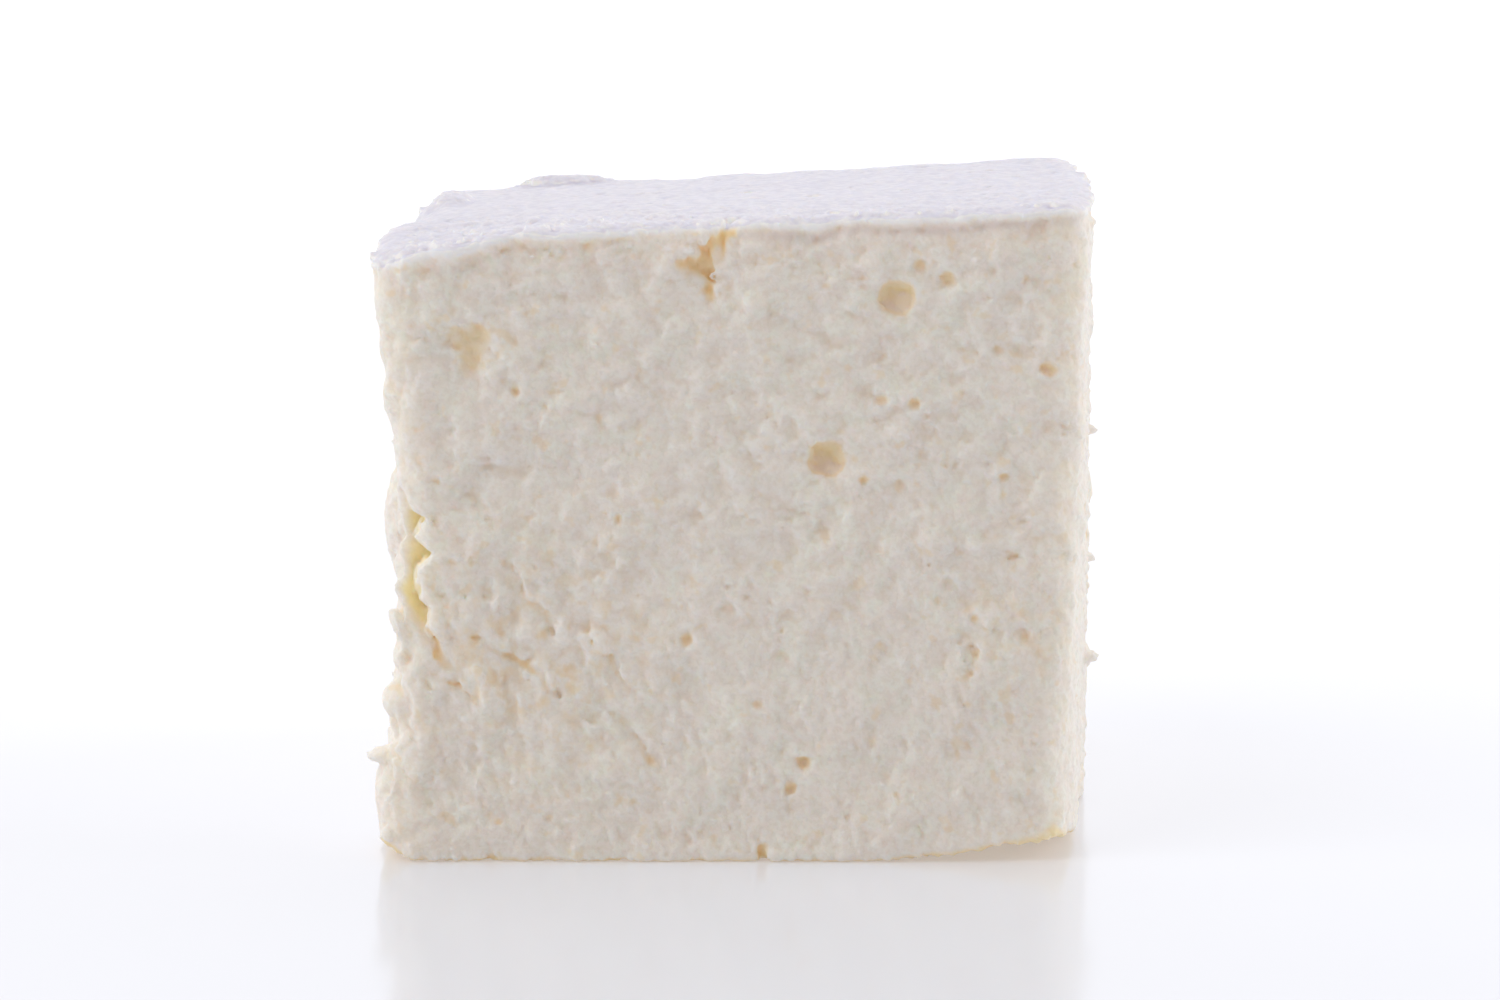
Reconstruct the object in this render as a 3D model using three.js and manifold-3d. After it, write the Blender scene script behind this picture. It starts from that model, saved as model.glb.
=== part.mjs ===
// A cube of home-made marshmallow: whipped sugar foam, poured as a slab with a powdered skin,
// and cut on four sides. The cuts tear the foam a little and open its bubbles.
// Millimetres, +Z up. The origin is the middle of the base, and the front cut looks along -Y.

import * as THREE from 'three';
import { mergeVertices } from 'three/addons/utils/BufferGeometryUtils.js';
import ManifoldModule from 'manifold-3d';

const wasm = await ManifoldModule();
wasm.setup();

// ---- Driving dimensions ----

const width = 38;            // nominal, left cut to right cut
const depth = 38;            // front cut to back cut
const height = 35.05;        // base to top skin, at the middle
const slabTilt = 0.047;      // the slab gets thicker to the right: rise per millimetre
const slabTwist = 0.012;     // that much more of it at the back
const slabDip = 0.024;       // and a little thinner towards the back
const cornerDroop = 1.15;    // the top sinks at its front left corner
const leftDip = 1.0;         // and dips at its left edge behind that corner
const cutTurn = 0.0244;      // the front and back cuts run a little out of square

// The left and right cuts lean and bow. Each row is [x at the front edge, x at the back edge].
const leftCut = { base: [-20.2, -19.5], waist: [-18.75, -19.1], top: [-20.35, -18.8], belly: -0.3 };
const rightCut = { base: [17.9, 19.8], waist: [18.25, 19.6], top: [18.7, 18.9], belly: 0.6 };

const edgeRadius = 1.2;      // the knife leaves the foam's edges soft
const lipOut = 0.3;          // the skin's torn rim stands out over the cuts
const lipDown = 0.32;        // middle of that rim, below the top
const lipHalf = 0.3;         // half its thickness
// Along the front cut the rim is thick on the left and gone at the tear: [x, share of lipOut]
const frontRim = [[-21, 1.1], [-8, 1], [-4.6, 0.5], [-3.4, 0.1], [-0.6, 0.1], [0.4, 0.75], [20, 1]];
// The base curls up under the front corners: x where it starts, where it is full, and how far
const leftCurl = { from: -17.3, to: -21, lift: 1.25 };
const rightCurl = { from: 6, to: 20.5, lift: 1.55 };
const cornerWear = 0.8;      // the low front right corner is rubbed back
const reliefDepth = 0.09;    // broad waves of the cut faces

const gridAcross = 19;       // steps of the block's grid along each side
const gridUp = 17;
const edgeCrowding = 0.8;    // how much closer the grid's lines lie near the edges
const roundFrom = 0.6;       // hollows of at least this half width get the finer ball

// ---- Surface detail, as places and half sizes ----

// Bubbles and pits that the front cut opened: [x, z, half width, depth, half height]
const frontHollows = [
  [8.4, 31.25, 1.02, 0.85, 1.0], [8.75, 30.2, 0.42, 0.5, 0.5],
  [4.65, 22.45, 1.06, 0.85, 1.02], [4.7, 21.5, 0.42, 0.5, 0.45],
  [-15.2, 28.8, 0.85, 0.32, 0.8], [-14.0, 29.05, 0.95, 0.36, 0.85], [-14.65, 27.75, 0.7, 0.36, 1.0],
  [11.15, 32.2, 0.55, 0.6, 0.62], [9.7, 33.0, 0.46, 0.55, 0.46],
  [16.7, 27.45, 0.6, 0.5, 0.58], [13.95, 28.45, 0.42, 0.5, 0.42],
  [2.65, 4.15, 0.52, 0.75, 0.48], [3.5, 5.6, 0.44, 0.7, 0.42],
  [8.6, 20.95, 0.45, 0.35, 0.5], [14.35, 21.45, 0.4, 0.35, 0.4],
  [9.3, 10.1, 0.4, 0.4, 0.38], [7.2, 6.85, 0.3, 0.4, 0.5],
  [-7.65, 24.55, 0.28, 0.4, 0.5], [-12.25, 26.35, 0.28, 0.4, 0.5],
  [1.15, 0.35, 0.42, 1.5, 0.85],
];
// A forked tear hangs from the lip: its strokes as [x, z] from end to end
const tearStrokes = [
  [[-0.6, 34.9], [-2.1, 33.1]], [[-3.0, 33.1], [-2.1, 33.1]], [[-2.1, 33.1], [-1.65, 31.6]],
];
const tearRadius = 0.34;
const tearSteps = 3;

// The knife pulled bites out of upright edges: [x, y, z, half width, half depth, half height]
const edgeBites = [
  [-19.9, -19.3, 19.2, 2.7, 2.4, 1.7], [-19.9, -19.4, 17.2, 3.1, 2.2, 1.35],
  [-19.9, -19.3, 14.5, 2.9, 2.4, 1.7], [-19.8, -19.4, 12.9, 3.5, 2.0, 0.8],
  [20.1, 19.2, 11.6, 1.9, 2.4, 1.7], [20.2, 19.3, 9.2, 1.4, 2.0, 1.1],
  [-19.6, 19.4, 27.2, 1.2, 1.6, 1.5],
  [-20.2, 5.4, 0.2, 1.5, 1.9, 1.4], [9.6, 19.6, 0.2, 1.7, 1.3, 1.2],
];
// Burrs of torn foam, and folds of the skin on top: the same six numbers
const burrs = [
  [-18.7, -14.2, 18.4, 1.2, 2.6, 3.2],
  [-19.0, -16.8, 3.4, 1.35, 2.4, 2.7], [-19.6, -17.6, 5.7, 1.15, 0.8, 0.45],
  [-18.8, -17.4, 8.8, 1.05, 1.4, 1.1], [-18.5, -17.4, 11.3, 0.75, 1.2, 0.8],
  [-18.8, -17.2, 26.0, 0.8, 1.8, 2.0], [-19.15, -17.2, 31.6, 0.8, 1.8, 1.7],
  [19.25, -4, 22.0, 0.7, 0.7, 0.3], [19.35, -4.5, 14.7, 0.7, 0.7, 0.28],
  [19.35, -5, 9.0, 0.75, 0.8, 0.35], [19.6, 9.5, 6.2, 0.8, 1.2, 0.9],
  [-11.4, 18.0, 33.8, 2.7, 1.1, 0.62], [-17.7, 6.2, 33.72, 1.2, 3.2, 0.62],
];

// Bubbles of the three other cuts are drawn by chance, the largest and the smallest as here
const hiddenBubbles = { count: 10, smallest: 0.5, largest: 1.15, spacing: 3.4, seed: 2803 };

// ---- The block ----

const { smoothstep } = THREE.MathUtils;

/** Height of the top skin, which sinks at the front left corner and dips behind it. */
function topAt(x, y) {
  const droop = cornerDroop * smoothstep(-x, 11, 20.5) * smoothstep(-y, 5, 19.5);
  const dip = leftDip * smoothstep(-x, 17.5, 20.3) * smoothstep(y, -11, 2) * (1 - smoothstep(y, 2.5, 4.5));
  const tilt = slabTilt + slabTwist * (y / depth + 0.5);
  return height + tilt * x - slabDip * y - droop - dip;
}

const frontAt = (x) => -depth / 2 + cutTurn * x;
const backAt = (x) => depth / 2 - cutTurn * x;

/** x of a side cut at a point of its height and depth: a curve through base, waist and top. */
function sideAt(cut, y, z) {
  const along = y / depth + 0.5;
  const up = z / height;
  const edge = (row) => row[0] + (row[1] - row[0]) * along;
  const curve = edge(cut.base) * (1 - up) * (1 - 2 * up)
    + edge(cut.waist) * 4 * up * (1 - up)
    + edge(cut.top) * up * (2 * up - 1);
  return curve + cut.belly * 4 * along * (1 - along);
}

/** Moves an even grid line, from -1 to 1, closer to the nearer edge. */
function crowd(t) {
  return t + edgeCrowding * Math.sin(Math.PI * t) / Math.PI;
}

/** Broad waves of a cut face, from its own along and up. */
function relief(along, up, phase) {
  return reliefDepth * (Math.sin(0.42 * along + 0.31 * up + phase)
    + 0.7 * Math.sin(0.83 * up - 0.27 * along + 2 * phase)
    + 0.5 * Math.sin(1.1 * along - 0.6 * up + 3 * phase));
}

/** The rim's share at a place along the front cut. */
function rimShare(x) {
  const next = Math.max(1, frontRim.findIndex((knot) => knot[0] > x));
  const [[x0, share0], [x1, share1]] = [frontRim[next - 1], frontRim[next]];
  return THREE.MathUtils.lerp(share0, share1, THREE.MathUtils.clamp((x - x0) / (x1 - x0), 0, 1));
}

/** How far the rim of the skin stands out, below the top by the given drop. */
function lip(drop, share) {
  return lipOut * share * Math.exp(-(((drop - lipDown) / lipHalf) ** 2));
}

/** The rim's share on the three other cuts. */
function wavyShare(along) {
  return 0.75 + 0.25 * Math.sin(0.9 * along) * Math.sin(0.37 * along + 1);
}

/** How far the base curls up under a point near a front corner. */
function curl(x, y, z) {
  const left = leftCurl.lift * smoothstep(-x, -leftCurl.from, -leftCurl.to);
  const right = rightCurl.lift * smoothstep(x, rightCurl.from, rightCurl.to);
  return (left + right) * smoothstep(-y, 9, 19.5) * (1 - smoothstep(z, 0, 7));
}

/** How far the low front right corner is rubbed back. */
function wear(x, y, z) {
  return cornerWear * smoothstep(x, 14.5, 18.5) * smoothstep(-y, 14.5, 18.5) * (1 - smoothstep(z, 4, 15));
}

/** Takes a corner of the unit grid (-1 to 1 each way) to its place on the marshmallow. */
function blockPoint(unit) {
  const half = new THREE.Vector3(width / 2, depth / 2, height / 2);
  const flat = new THREE.Vector3(crowd(unit.x), crowd(unit.y), crowd(unit.z)).multiply(half);
  const core = half.clone().subScalar(edgeRadius);
  const inner = flat.clone().clamp(core.clone().negate(), core);
  const outward = flat.clone().sub(inner).normalize();
  const soft = inner.addScaledVector(outward, edgeRadius);

  const z0 = soft.z + half.z;
  const across = soft.x / width + 0.5;
  const left = sideAt(leftCut, soft.y, z0);
  const x = left + (sideAt(rightCut, soft.y, z0) - left) * across;
  const front = frontAt(x);
  const y = front + (backAt(x) - front) * (soft.y / depth + 0.5);
  const z = (z0 / height) * topAt(x, y);

  const sideFace = Math.abs(outward.x) > Math.abs(outward.y);
  const along = sideFace ? y : x;
  const phase = sideFace ? Math.sign(outward.x) : 2 * Math.sign(outward.y);
  const share = !sideFace && outward.y < 0 ? rimShare(x) : wavyShare(along);
  const cut = Math.hypot(outward.x, outward.y);
  const out = cut * (relief(along, z, phase) + lip(topAt(x, y) - z, share) - wear(x, y, z));
  return new THREE.Vector3(x + outward.x * out, y + outward.y * out, z + curl(x, y, z));
}

function blockGeometry() {
  const geometry = new THREE.BoxGeometry(2, 2, 2, gridAcross, gridAcross, gridUp);
  const places = geometry.attributes.position;
  const unit = new THREE.Vector3();
  for (let i = 0; i < places.count; i++) {
    unit.fromBufferAttribute(places, i);
    places.setXYZ(i, ...blockPoint(unit).toArray());
  }
  return geometry;
}

// ---- Bubbles, bites and burrs ----

/** A small ball of the given half sizes, with 80 faces where it is large and 20 elsewhere. */
function ball([x, y, z], [rx, ry, rz]) {
  const geometry = new THREE.IcosahedronGeometry(1, Math.max(rx, ry) < roundFrom ? 0 : 1);
  return geometry.scale(rx, ry, rz).translate(x, y, z);
}

/** Even numbers from 0 to 1, the same on each run. */
function chance(seed) {
  let state = seed;
  return () => {
    state = (Math.imul(state, 1664525) + 1013904223) >>> 0;
    return state / 2 ** 32;
  };
}

/** Places of the bubbles on a cut that stays out of sight: along it, up it, and radius. */
function drawBubbles(next) {
  const found = [];
  while (found.length < hiddenBubbles.count) {
    const along = (2 * next() - 1) * 15.5;
    const up = 3.5 + 28 * next();
    const size = next() ** 2;
    const clear = found.every((other) => Math.hypot(other.along - along, other.up - up)
      > hiddenBubbles.spacing);
    const radius = hiddenBubbles.smallest + (hiddenBubbles.largest - hiddenBubbles.smallest) * size;
    if (clear) found.push({ along, up, radius });
  }
  return found;
}

function hollows() {
  const balls = frontHollows.map(([x, z, ...size]) => ball([x, frontAt(x) - 0.12 * size[1], z], size));
  for (const [from, to] of tearStrokes) {
    for (let step = 0; step <= tearSteps; step++) {
      const x = from[0] + (to[0] - from[0]) * step / tearSteps;
      const z = from[1] + (to[1] - from[1]) * step / tearSteps;
      balls.push(ball([x, frontAt(x) - 0.1, z], [tearRadius, 1.7 * tearRadius, 1.6 * tearRadius]));
    }
  }
  for (const [x, y, z, ...size] of edgeBites) balls.push(ball([x, y, z], size));
  const next = chance(hiddenBubbles.seed);
  for (const { along, up, radius } of drawBubbles(next)) {
    balls.push(ball([along, backAt(along), up], [radius, 0.8 * radius, radius]));
  }
  for (const cut of [leftCut, rightCut]) {
    for (const { along, up, radius } of drawBubbles(next)) {
      balls.push(ball([sideAt(cut, along, up), along, up], [0.8 * radius, radius, radius]));
    }
  }
  return balls;
}

// ---- Solids ----

/** A closed geometry as a solid that can be joined and cut. */
function solid(geometry) {
  const bare = geometry.clone();
  bare.deleteAttribute('normal');
  bare.deleteAttribute('uv');
  const merged = mergeVertices(bare, 1e-4);
  return new wasm.Manifold(new wasm.Mesh({
    numProp: 3,
    vertProperties: new Float32Array(merged.attributes.position.array),
    triVerts: new Uint32Array(merged.index.array),
  }));
}

/** The solid's faces as a three.js geometry. */
function faces(manifold) {
  const mesh = manifold.getMesh();
  const geometry = new THREE.BufferGeometry();
  geometry.setAttribute('position', new THREE.BufferAttribute(mesh.vertProperties, 3));
  geometry.setIndex(new THREE.BufferAttribute(mesh.triVerts, 1));
  geometry.computeVertexNormals();
  return geometry;
}

let body = solid(blockGeometry());
for (const [x, y, z, ...size] of burrs) body = body.add(solid(ball([x, y, z], size)));
for (const hollow of hollows()) body = body.subtract(solid(hollow));

const foam = new THREE.MeshStandardMaterial({ color: 0xf0e8df, roughness: 0.9, metalness: 0 });
const marshmallow = new THREE.Mesh(faces(body), foam);
marshmallow.name = 'marshmallow';

const group = new THREE.Group();
group.add(marshmallow);

export default group;
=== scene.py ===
# %% [markdown]
# # A home-made marshmallow, cut from a slab
#
# The real thing is whipped sugar and gelatine: a foam of tiny bubbles, poured into a tray that is
# dusted with starch and icing sugar, and cut into cubes once it has set. So it has two finishes:
# a smooth powdered skin on top, and four cut sides, where the knife opens the bubbles, drags the
# foam into small curls and now and then tears a piece out of an edge.
#
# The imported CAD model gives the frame: its size, its place and its body. This script dresses it.

# %% Load the frame
from math import cos, pi, radians, sin

import bpy
import numpy as np
import openvdb
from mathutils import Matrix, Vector


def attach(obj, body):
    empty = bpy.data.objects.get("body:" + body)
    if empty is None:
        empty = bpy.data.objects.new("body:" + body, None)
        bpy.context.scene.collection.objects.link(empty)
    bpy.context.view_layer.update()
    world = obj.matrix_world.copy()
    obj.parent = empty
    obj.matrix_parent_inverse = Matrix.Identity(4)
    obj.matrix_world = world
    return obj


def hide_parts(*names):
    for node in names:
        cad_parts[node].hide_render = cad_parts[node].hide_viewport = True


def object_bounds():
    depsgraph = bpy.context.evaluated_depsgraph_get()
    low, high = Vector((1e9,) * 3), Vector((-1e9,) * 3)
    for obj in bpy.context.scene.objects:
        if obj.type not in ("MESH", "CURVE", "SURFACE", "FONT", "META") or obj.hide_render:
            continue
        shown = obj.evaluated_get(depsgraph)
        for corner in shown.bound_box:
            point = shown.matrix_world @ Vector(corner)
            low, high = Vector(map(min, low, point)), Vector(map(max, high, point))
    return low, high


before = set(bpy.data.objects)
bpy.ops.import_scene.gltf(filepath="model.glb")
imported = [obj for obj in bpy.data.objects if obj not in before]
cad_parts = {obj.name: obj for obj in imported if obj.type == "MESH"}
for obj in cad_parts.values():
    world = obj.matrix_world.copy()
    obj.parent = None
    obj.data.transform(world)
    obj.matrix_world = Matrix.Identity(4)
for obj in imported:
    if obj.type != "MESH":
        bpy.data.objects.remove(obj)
cad_low, cad_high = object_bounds()
print("CAD box in mm:", [round(1000 * v, 2) for v in (*cad_low, *cad_high)])

# %% [markdown]
# ## The camera
#
# A small thing on a table is looked at from close by and a little above. A long lens keeps its
# upright edges nearly parallel. The camera stands where it sees the front cut almost square on,
# with a strip of the powdered top above it.

# %% Camera
mm = 0.001
camera_place = Vector((7.1, -280.8, 61.9)) * mm
camera_target = Vector((0.0, 0.0, 17.2)) * mm
lens_mm, sensor_mm = 117.0, 36.0
nearest_seen, farthest_seen = 0.01, 20.0

camera_data = bpy.data.cameras.new("camera")
camera_data.lens, camera_data.sensor_width = lens_mm, sensor_mm
camera_data.clip_start, camera_data.clip_end = nearest_seen, farthest_seen
camera = bpy.data.objects.new("camera", camera_data)
camera.location = camera_place
camera.rotation_euler = (camera_target - camera_place).to_track_quat("-Z", "Y").to_euler()
bpy.context.scene.collection.objects.link(camera)
bpy.context.scene.camera = camera
print("camera is", round((camera_target - camera_place).length * 1000), "mm away")

# %% [markdown]
# ## Nodes in few words
#
# Every finish below is a small network of shader nodes. Written out, each node takes several lines
# to make, fill in and wire up. These helpers do it in one, so that the recipes stay readable.


# %% Adding and wiring nodes
def plug(tree, socket, value):
    """Gives a socket a number, a colour or another node's output."""
    if isinstance(value, bpy.types.NodeSocket):
        tree.links.new(value, socket)
    else:
        socket.default_value = value


def add(tree, kind, settings=None, **inputs):
    """Adds a node. Its inputs go by name, with _ for a space, or by number, as in _0 and _1."""
    node = tree.nodes.new(kind)
    for name, value in (settings or {}).items():
        setattr(node, name, value)
    for name, value in inputs.items():
        number = name[1:]
        plug(tree, node.inputs[int(number) if number.isdigit() else name.replace("_", " ")], value)
    return node


def new_material(name):
    """A material with an empty node network."""
    material = bpy.data.materials.new(name)
    material.use_nodes = True
    material.node_tree.nodes.clear()
    return material


# %% Ramps and colours
def ramp(tree, value, low, high, to_low=0.0, to_high=1.0):
    """Stretches a range of values onto another, smoothly and without going past its ends."""
    node = add(tree, "ShaderNodeMapRange", {"interpolation_type": "SMOOTHSTEP"},
               Value=value, From_Min=low, From_Max=high, To_Min=to_low, To_Max=to_high)
    return node.outputs["Result"]


def blend(tree, factor, first, second):
    """A colour between two: the first where the factor is 0, the second where it is 1."""
    node = add(tree, "ShaderNodeMix", {"data_type": "RGBA"})
    plug(tree, node.inputs["Factor"], factor)
    plug(tree, node.inputs[6], first)
    plug(tree, node.inputs[7], second)
    return node.outputs[2]


def srgb(red, green, blue):
    """A colour as a picture states it, 0 to 255, turned into the linear numbers of a shader."""
    def linear(v):
        v /= 255
        return v / 12.92 if v <= 0.04045 else ((v + 0.055) / 1.055) ** 2.4
    return (linear(red), linear(green), linear(blue), 1.0)


# %% [markdown]
# ## The table
#
# The cube stands on a pale polished table, which mirrors a little of its foot. A plain table would
# be nearly black in the narrow gap where the base curls up from it, because the cube shuts out the
# light. So this is a light table, which glows faintly from below. It is stage, which means that it
# belongs to the setting and not to the marshmallow.

# %% Table
table_half = 4.0
table_mesh = bpy.data.meshes.new("table")
corners = [(-table_half, -table_half, 0), (table_half, -table_half, 0),
           (table_half, table_half, 0), (-table_half, table_half, 0)]
table_mesh.from_pydata(corners, [], [(0, 1, 2, 3)])
table = bpy.data.objects.new("table", table_mesh)
bpy.context.scene.collection.objects.link(table)
print("table is", 2 * table_half, "m wide")

# %% Table finish
table_glow, table_glow_colour = 0.26, (0.97, 0.97, 1.0, 1.0)
smoothest, roughest = 0.10, 0.16

table_finish = new_material("polished_white")
tree = table_finish.node_tree
smear = add(tree, "ShaderNodeTexNoise", Scale=9.0, Detail=2.0)
surface = add(tree, "ShaderNodeBsdfPrincipled", Base_Color=srgb(192, 195, 204),
              Emission_Color=table_glow_colour, Emission_Strength=table_glow)
polish = ramp(tree, smear.outputs["Fac"], 0.3, 0.7, smoothest, roughest)
plug(tree, surface.inputs["Roughness"], polish)
output = add(tree, "ShaderNodeOutputMaterial", Surface=surface.outputs[0])
table_mesh.materials.append(table_finish)
print("table finish has", len(tree.nodes), "nodes")

# %% [markdown]
# ## The light
#
# White on white shows its shape only where the light differs. A bright window behind does that: it
# leaves the front cut in soft, slightly warm shade and brings out the pale rims of the upright
# edges. The window is part of the surroundings, which run from the room's shade to the window's
# white. Three broad lamps help it. One high on the left grazes the front cut, so that its small
# relief shows, and one on each side lights the upright edges.

# %% Window and room
shade_colour = (0.470, 0.446, 0.416, 1.0)
window_colour = (1.20, 1.20, 1.24, 1.0)
window_towards = Vector((0.0, 0.95, 0.1)).normalized()
window_fades_out, window_full = 0.1, 0.97

world = bpy.data.worlds.new("soft_studio")
world.use_nodes = True
bpy.context.scene.world = world
tree = world.node_tree
tree.nodes.clear()
direction = add(tree, "ShaderNodeTexCoord")
facing = add(tree, "ShaderNodeVectorMath", {"operation": "DOT_PRODUCT"},
             _0=direction.outputs["Generated"], _1=window_towards)
in_window = ramp(tree, facing.outputs["Value"], window_fades_out, window_full)
glow = blend(tree, in_window, shade_colour, window_colour)
background = add(tree, "ShaderNodeBackground", Color=glow, Strength=1.0)
output = add(tree, "ShaderNodeOutputWorld", Surface=background.outputs[0])
bpy.context.scene.view_settings.view_transform = "Standard"
print("surroundings have", len(tree.nodes), "nodes")


# %% Lamps
def lamp(name, shines_from, share, softness):
    """A broad far lamp. Its share is the light it adds to a white sheet that faces it."""
    data = bpy.data.lights.new(name, "SUN")
    data.energy = share * pi
    data.angle = radians(softness)
    obj = bpy.data.objects.new(name, data)
    obj.rotation_euler = (-Vector(shines_from)).to_track_quat("-Z", "Y").to_euler()
    bpy.context.scene.collection.objects.link(obj)
    print(name, "adds", share)


lamp("grazing_lamp", (-0.50, -0.30, 0.81), share=0.21, softness=35)
lamp("left_rim_lamp", (-0.92, -0.10, 0.30), share=0.22, softness=45)
lamp("right_rim_lamp", (0.88, 0.15, 0.35), share=0.32, softness=40)

# %% [markdown]
# ## The cube as a field
#
# Torn foam has overhangs, curls and open bubbles, which a flat sheet of points pushed in and out
# can't follow. A field can: it gives every point of space its distance from the surface, less
# than zero inside. Joining is then taking the smaller of two numbers, and carving the larger, and
# the surface is drawn at the end, wherever the field is zero. All of this is in millimetres.
#
# First comes the block that the knife made. Its main sizes have the CAD model's names and numbers.
# Its top was the top of the slab, which had set a little aslant in its tray.

# %% The top skin
width, depth, height = 38.0, 38.0, 35.05
slab_tilt, slab_twist, slab_dip = 0.047, 0.012, 0.024
corner_droop, left_dip = 1.15, 1.0


def smoothstep(value, low, high):
    """Goes smoothly from 0 to 1 while the value goes from low to high."""
    t = np.clip((value - low) / (high - low), 0, 1)
    return t * t * (3 - 2 * t)


def top_at(x, y):
    """Height of the top skin, which sinks at the front left corner and dips behind it."""
    droop = corner_droop * smoothstep(-x, 11, 20.5) * smoothstep(-y, 5, 19.5)
    dip = (left_dip * smoothstep(-x, 17.5, 20.3)
           * smoothstep(y, -11, 2) * (1 - smoothstep(y, 2.5, 4.5)))
    tilt = slab_tilt + slab_twist * (y / depth + 0.5)
    return height + tilt * x - slab_dip * y - droop - dip


print("top at the front corners:", top_at(-19, -19).round(2), "and", top_at(19, -19).round(2), "mm")

# %% [markdown]
# ## The four cuts
#
# A knife pressed through soft foam doesn't go straight. Each cut leans and bows, and the foam
# springs back below and above. The front and the back are planes, slightly turned. A side cut goes
# through three rows, at its base, its waist and its top, each with a place for its front end and
# one for its back end.

# %% The cuts
cut_turn = 0.0244
left_cut = dict(base=(-20.2, -19.5), waist=(-18.75, -19.1), top=(-20.35, -18.8), belly=-0.3)
right_cut = dict(base=(17.9, 19.8), waist=(18.25, 19.6), top=(18.7, 18.9), belly=0.6)


def front_at(x):
    return -depth / 2 + cut_turn * x


def back_at(x):
    return depth / 2 - cut_turn * x


def side_at(cut, y, z):
    """x of a side cut: a curve through its base, waist and top rows, bowed along the depth."""
    along, up = y / depth + 0.5, z / height
    base, waist, top = (cut[row][0] + (cut[row][1] - cut[row][0]) * along
                        for row in ("base", "waist", "top"))
    curve = base * (1 - up) * (1 - 2 * up) + waist * 4 * up * (1 - up) + top * up * (2 * up - 1)
    return curve + cut["belly"] * 4 * along * (1 - along)


waist_width = side_at(right_cut, -19, height / 2) - side_at(left_cut, -19, height / 2)
print("the front cut is", round(waist_width, 2), "mm wide at its waist")

# %% Curled base and worn corner
left_lift, right_lift = 1.25, 1.55
corner_wear = 0.8


def curl(x, y, z):
    """How far the base curls up under its front corners."""
    left = left_lift * smoothstep(-x, 17.3, 21.0)
    right = right_lift * smoothstep(x, 6, 20.5)
    return (left + right) * smoothstep(-y, 9, 19.5) * (1 - smoothstep(z, 0, 7))


def wear(x, y, z):
    """How far the low front right corner is rubbed back."""
    return (corner_wear * smoothstep(x, 14.5, 18.5) * smoothstep(-y, 14.5, 18.5)
            * (1 - smoothstep(z, 4, 15)))


print("the front right base corner is", curl(19, -19, 0).round(2), "mm up")


# %% From a bent block to a plain one
def in_block(x, y, z):
    """Takes a place on the marshmallow to its place in a plain block about the origin."""
    level = (z - curl(x, y, z)) / top_at(x, y) * height
    left, right = side_at(left_cut, y, level), side_at(right_cut, y, level)
    across = ((x - left) / (right - left) - 0.5) * width
    inward = ((y - front_at(x)) / (back_at(x) - front_at(x)) - 0.5) * depth
    return across, inward, level - height / 2


def rounded(first, second, radius):
    """Two distances met at a rounded edge."""
    first, second = first + radius, second + radius
    return (np.sqrt(np.maximum(first, 0) ** 2 + np.maximum(second, 0) ** 2)
            + np.minimum(np.maximum(first, second), 0) - radius)


# %% Fill space with points
voxel = 0.16
margin = 1.0
low = np.array([1000 * v - margin for v in cad_low])
high = np.array([1000 * v + margin for v in cad_high])
steps = 8 * np.ceil((high - low) / voxel / 8).astype(int)
line = [(low[i] + voxel * np.arange(steps[i])).astype(np.float32) for i in range(3)]
x, y, z = line[0][:, None, None], line[1][None, :, None], line[2][None, None, :]
print("points along x, y and z:", steps, "and one every", voxel, "mm")

# %% [markdown]
# ## Edges of the block
#
# Where two cuts meet, the foam is rounded, and where a cut meets the skin, it is sharper. The front
# left top corner has slumped and is rounder, and the back right edge is crisp. `cut_face` tells the
# cuts from the skin: it is 1 on a cut and 0 on the top and the base.

# %% The block's field
upright_radius, flat_radius = 1.8, 0.8
slump, crispness = 0.6, 0.9

across, inward, level = in_block(x, y, z)
over_side = np.abs(across) - width / 2
over_front = np.abs(inward) - depth / 2
over_cap = np.abs(level) - height / 2
top_left = smoothstep(-across, 15, 18) * smoothstep(-inward, 15, 18) * smoothstep(level, 12, 16.5)
back_right = smoothstep(across, 10, 16) * smoothstep(inward, 10, 16)
upright = rounded(over_side, over_front,
                  upright_radius + slump * top_left - crispness * back_right)
field = rounded(upright, over_cap,
                0.5 * flat_radius * (1 + smoothstep(level, -2, 2)) + 0.5 * top_left)
cut_face = smoothstep(np.maximum(over_side, over_front) - over_cap, -0.25, 0.25)
print("points inside the block:", int((field < 0).sum()), "of", field.size)

# %% [markdown]
# ## Foam texture from filtered noise
#
# A close look at a cut shows soft grains, drawn out where the knife dragged them down, with lumps
# and folds among them. Filtering random numbers by wavelength gives smooth hills and dales of one
# size, and filtering harder along one direction draws them out that way. The absolute value folds
# the dales up, which leaves round lumps with sharp creases between them.

# %% Noise of one wavelength
rng = np.random.default_rng(1807)
wave_x = np.fft.fftfreq(steps[0], voxel)[:, None, None]
wave_y = np.fft.fftfreq(steps[1], voxel)[None, :, None]
wave_z = np.fft.rfftfreq(steps[2], voxel)[None, None, :]
drag = Vector((0.36, 0.30, -0.88)).normalized()
level_drag = Vector((0.80, 0.60, -0.06)).normalized()


def noise(wavelength, drawn_out=1.0, drawn=drag, spread=0.35):
    """Hills and dales of one size in mm, with a spread of 1, drawn out along a direction."""
    white = np.fft.rfftn(rng.standard_normal(tuple(steps), dtype=np.float32))
    along_drag = wave_x * drawn.x + wave_y * drawn.y + wave_z * drawn.z
    waves = np.sqrt(wave_x ** 2 + wave_y ** 2 + wave_z ** 2
                    + (drawn_out ** 2 - 1) * along_drag ** 2)
    white *= np.exp(-(np.log(np.maximum(waves, 1e-6) * wavelength) / spread) ** 2)
    hills = np.fft.irfftn(white, s=tuple(steps)).astype(np.float32)
    return hills / hills.std()


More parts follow.
